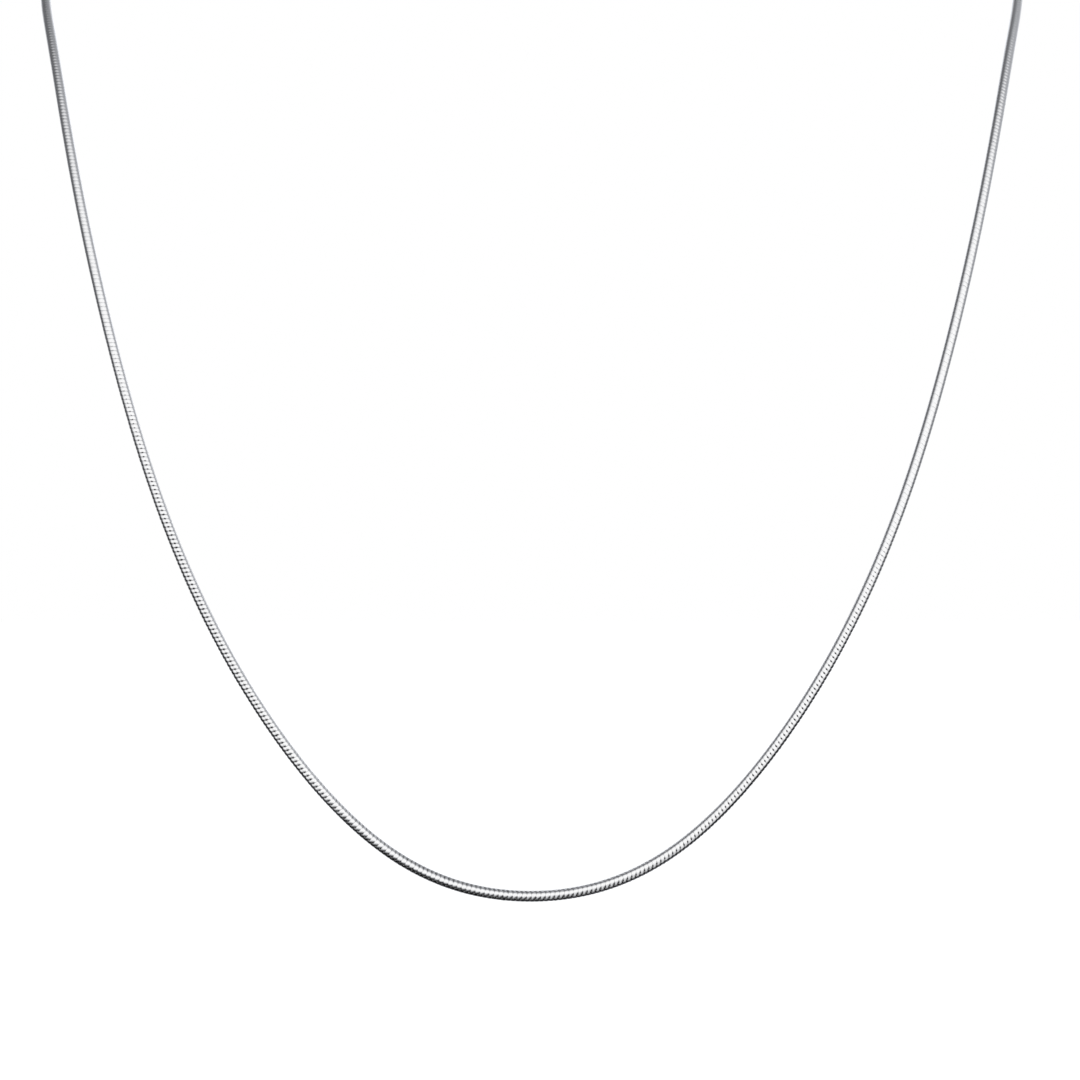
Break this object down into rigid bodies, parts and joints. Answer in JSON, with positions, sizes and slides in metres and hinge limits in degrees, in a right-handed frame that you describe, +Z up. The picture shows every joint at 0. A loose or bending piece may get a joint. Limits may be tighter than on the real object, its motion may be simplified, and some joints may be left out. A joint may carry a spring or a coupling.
{
  "type": "round snake chain",
  "caption": "Smooth round snake chain in its worn form, a whole loop round the neck closed by a barrel clasp at the nape.",
  "frame": {"origin": "centre of the clasp, where the loop hangs on the nape of the neck", "axes": "+Z up, the front of the neck faces -Y, X across with +X on the wearer's left"},
  "size_m": [0.1194, 0.0868, 0.1312],
  "materials": {
    "chain_silver": "polished sterling silver, darker in the joints between the links",
    "clasp_silver": "polished sterling silver"
  },
  "bodies": {
    "root": {"chain": "chain_silver", "clasp": "clasp_silver"}
  },
  "joints": []
}
